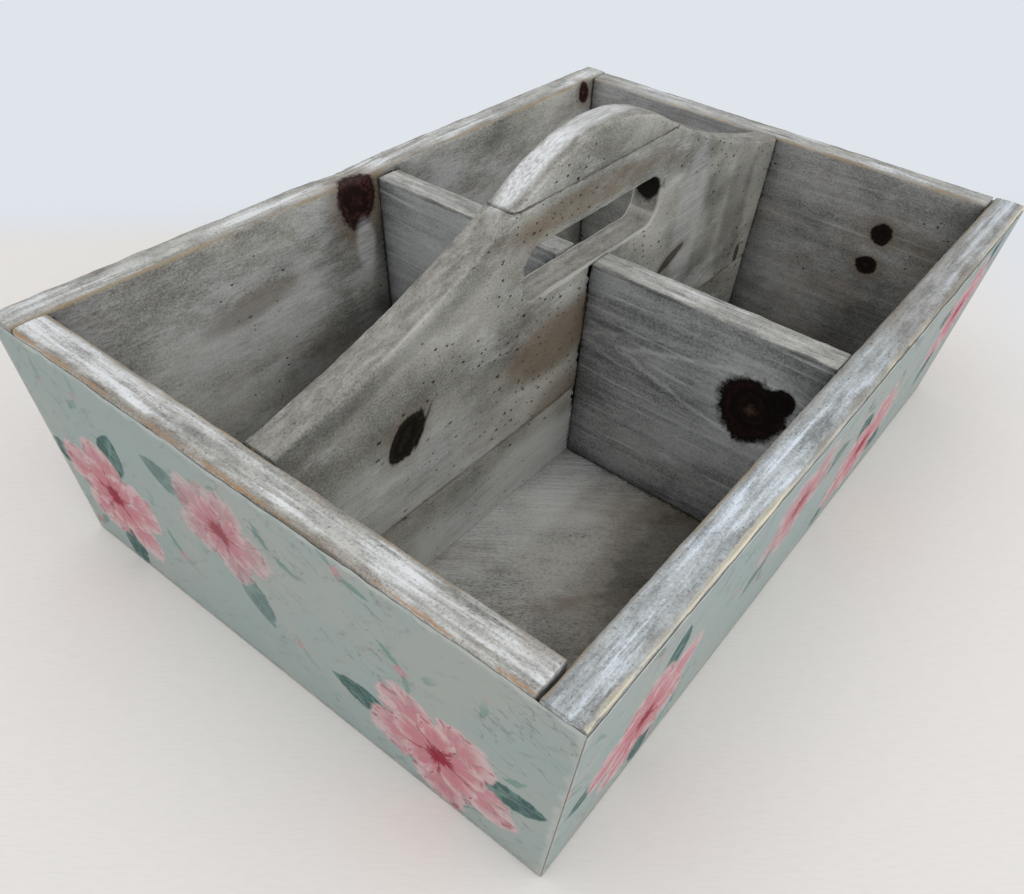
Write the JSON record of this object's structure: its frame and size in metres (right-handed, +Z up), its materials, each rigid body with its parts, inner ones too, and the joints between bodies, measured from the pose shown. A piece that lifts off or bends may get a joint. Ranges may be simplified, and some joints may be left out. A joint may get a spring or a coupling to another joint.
{
  "type": "storage caddy",
  "caption": "Open wooden storage caddy with outward-leaning walls, cross dividers and an arched lengthwise handle board with a hand slot, papered outside.",
  "frame": {"origin": "middle of the underside of the floor panel", "axes": "+X along the length towards the right end, +Y towards the back side, +Z up"},
  "size_m": [0.36, 0.248, 0.158],
  "materials": {
    "washed_pine": "grey-washed pine, white dry-brushed edges, matt",
    "floor_board": "grey-brown washed thin board, matt",
    "pin_steel": "plain steel panel pins",
    "pasted_paper": "pasted pale grey-green paper with a floral print, sanded edges, matt varnish"
  },
  "bodies": {
    "root": {"floor_panel": "floor_board", "front_side": "washed_pine", "back_side": "washed_pine", "left_end": "washed_pine", "right_end": "washed_pine", "handle_lower_strip": "washed_pine", "handle_plank": "washed_pine", "handle_cap": "washed_pine", "front_divider": "washed_pine", "back_divider": "washed_pine", "front_corner_pins": "pin_steel", "back_corner_pins": "pin_steel", "left_handle_pins": "pin_steel", "right_handle_pins": "pin_steel", "front_divider_pins": "pin_steel", "back_divider_pins": "pin_steel", "floor_pins": "pin_steel", "front_paper": "pasted_paper", "back_paper": "pasted_paper", "left_paper": "pasted_paper", "right_paper": "pasted_paper"}
  },
  "joints": []
}
